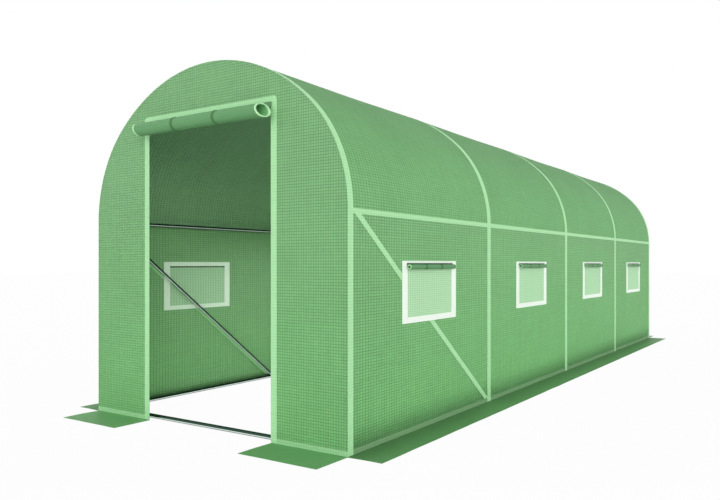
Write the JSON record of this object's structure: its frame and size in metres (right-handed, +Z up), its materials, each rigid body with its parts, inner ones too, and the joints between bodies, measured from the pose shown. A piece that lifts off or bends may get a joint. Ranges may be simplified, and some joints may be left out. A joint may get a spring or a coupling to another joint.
{
  "type": "polytunnel greenhouse",
  "caption": "Walk-in tunnel greenhouse: woven film cover with mesh windows and a rolled-up door on arched steel hoops.",
  "frame": {"origin": "centre of the footprint, on the ground", "axes": "+X across the front to the right as seen from outside the doorway, +Y along the tunnel from the front to the rear, +Z up"},
  "size_m": [2.404, 6.4866, 2.0543],
  "materials": {
    "steel": "galvanised tube, lightly mottled",
    "film": "woven film with a fine grid, slightly translucent",
    "roof_film": "woven film with a fine grid, slightly translucent",
    "flap": "plain film lying on the ground",
    "tape": "welded reinforcing tape, smooth",
    "window_frame": "pale coated webbing",
    "net": "fine insect mesh",
    "roll": "rolled film",
    "tie": "flat webbing tie"
  },
  "bodies": {
    "root": {"hoop_1": "steel", "hoop_2": "steel", "hoop_3": "steel", "hoop_4": "steel", "hoop_5": "steel", "ground_rail_left": "steel", "ground_rail_right": "steel", "ground_rail_front": "steel", "ground_rail_rear": "steel", "side_rail_left": "steel", "side_rail_right": "steel", "ridge_rail": "steel", "brace_left": "steel", "brace_right": "steel", "front_wall_left": "film", "front_wall_right": "film", "front_gable": "film", "rear_wall": "film", "side_wall_left": "film", "side_wall_right": "film", "roof_shoulder_left": "roof_film", "roof_crown_left": "roof_film", "roof_crown_right": "roof_film", "roof_shoulder_right": "roof_film", "ground_flap_left": "flap", "ground_flap_right": "flap", "ground_flap_front_left": "flap", "ground_flap_front_right": "flap", "ground_flap_rear": "flap", "hoop_tapes": "tape", "eave_tapes": "tape", "hem_tapes": "tape", "brace_tapes": "tape", "door_trim": "tape", "door_roll": "roll", "door_roll_ties": "tie", "window_frames_left": "window_frame", "window_frames_right": "window_frame", "window_nets_left": "net", "window_nets_right": "net", "window_rolls_left": "roll", "window_rolls_right": "roll", "window_ties_left": "tie", "window_ties_right": "tie"}
  },
  "joints": []
}
